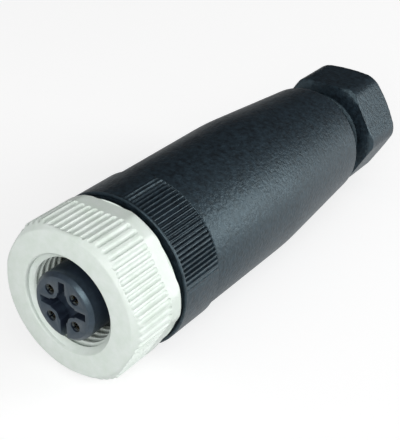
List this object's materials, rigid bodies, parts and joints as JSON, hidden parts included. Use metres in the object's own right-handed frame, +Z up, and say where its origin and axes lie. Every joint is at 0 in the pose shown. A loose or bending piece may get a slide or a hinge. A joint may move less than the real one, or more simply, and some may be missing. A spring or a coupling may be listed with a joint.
{
  "type": "m12 cable connector",
  "caption": "Straight field-wireable M12 female cable connector with hexagonal ribbed coupling nut, ribbed grip collar, tapered shell and compression cable gland.",
  "frame": {"origin": "centre of the coupling nut's flat front face, on the connector's axis", "axes": "+Y along the connector's axis from the mating face to the cable end; +Z up, with the coding keyway at the bottom; +X to the right seen from the mating face looking along +Y"},
  "size_m": [0.02, 0.065, 0.0198],
  "materials": {
    "nut": "satin off-white moulded plastic",
    "carrier": "dark satin moulded plastic",
    "housing": "black spark-eroded moulded plastic",
    "brass": "plain brass",
    "contact": "gold-plated brass",
    "steel": "bright zinc-plated steel",
    "seal": "black moulded rubber",
    "cage": "black moulded plastic"
  },
  "bodies": {
    "head": {"contact_carrier": "carrier", "retaining_ring": "brass", "front_seal": "seal", "grip_collar": "housing", "socket_contact_1": "contact", "socket_contact_2": "contact", "socket_contact_3": "contact", "socket_contact_4": "contact"},
    "nut": {"coupling_nut": "nut"},
    "shell_ring": {"housing_seal": "seal"},
    "shell": {"shell": "housing", "cable_seal": "seal"},
    "cage": {"clamp_cage": "cage"},
    "gland_screw": {"pressing_screw": "housing"},
    "plate_1": {"clamp_plate_1": "steel"},
    "plate_2": {"clamp_plate_2": "steel"},
    "plate_3": {"clamp_plate_3": "steel"},
    "plate_4": {"clamp_plate_4": "steel"},
    "screw_1": {"terminal_screw_1": "steel"},
    "screw_2": {"terminal_screw_2": "steel"},
    "screw_3": {"terminal_screw_3": "steel"},
    "screw_4": {"terminal_screw_4": "steel"}
  },
  "joints": [
    {"name": "nut_spin", "type": "hinge", "parent": "head", "child": "nut", "pos_m": [0, 0.004, 0], "axis": [0, 1, 0], "continuous": true},
    {"name": "shell_travel", "type": "slide", "parent": "head", "child": "shell_ring", "axis": [0, 1, 0], "range_m": [0, 0.004]},
    {"name": "shell_turn", "type": "hinge", "parent": "shell_ring", "child": "shell", "pos_m": [0, 0.03, 0], "axis": [0, 1, 0], "range_deg": [0, 1440]},
    {"name": "gland_travel", "type": "slide", "parent": "shell", "child": "cage", "axis": [0, 1, 0], "range_m": [-0.004, 0.00254]},
    {"name": "gland_turn", "type": "hinge", "parent": "cage", "child": "gland_screw", "pos_m": [0, 0.055, 0], "axis": [0, 1, 0], "range_deg": [-1133.86, 720]},
    {"name": "clamp_1", "type": "slide", "parent": "head", "child": "plate_1", "axis": [0.7071, 0, -0.7071], "range_m": [-0.0012, 0]},
    {"name": "clamp_screw_1", "type": "hinge", "parent": "plate_1", "child": "screw_1", "pos_m": [0, 0.02448, 0], "axis": [0.7071, 0, -0.7071], "range_deg": [-1080, 0]},
    {"name": "clamp_2", "type": "slide", "parent": "head", "child": "plate_2", "axis": [-0.7071, 0, -0.7071], "range_m": [-0.0012, 0]},
    {"name": "clamp_screw_2", "type": "hinge", "parent": "plate_2", "child": "screw_2", "pos_m": [0, 0.02448, 0], "axis": [-0.7071, 0, -0.7071], "range_deg": [-1080, 0]},
    {"name": "clamp_3", "type": "slide", "parent": "head", "child": "plate_3", "axis": [-0.7071, 0, 0.7071], "range_m": [-0.0012, 0]},
    {"name": "clamp_screw_3", "type": "hinge", "parent": "plate_3", "child": "screw_3", "pos_m": [0, 0.02448, 0], "axis": [-0.7071, 0, 0.7071], "range_deg": [-1080, 0]},
    {"name": "clamp_4", "type": "slide", "parent": "head", "child": "plate_4", "axis": [0.7071, 0, 0.7071], "range_m": [-0.0012, 0]},
    {"name": "clamp_screw_4", "type": "hinge", "parent": "plate_4", "child": "screw_4", "pos_m": [0, 0.02448, 0], "axis": [0.7071, 0, 0.7071], "range_deg": [-1080, 0]}
  ],
  "couplings": [
    {"joint": "shell_turn", "follows": "shell_travel", "rad_per_m": 6283.2},
    {"joint": "gland_turn", "follows": "gland_travel", "rad_per_m": 4947.4},
    {"joint": "clamp_screw_1", "follows": "clamp_1", "rad_per_m": 15708},
    {"joint": "clamp_screw_2", "follows": "clamp_2", "rad_per_m": 15708},
    {"joint": "clamp_screw_3", "follows": "clamp_3", "rad_per_m": 15708},
    {"joint": "clamp_screw_4", "follows": "clamp_4", "rad_per_m": 15708}
  ]
}
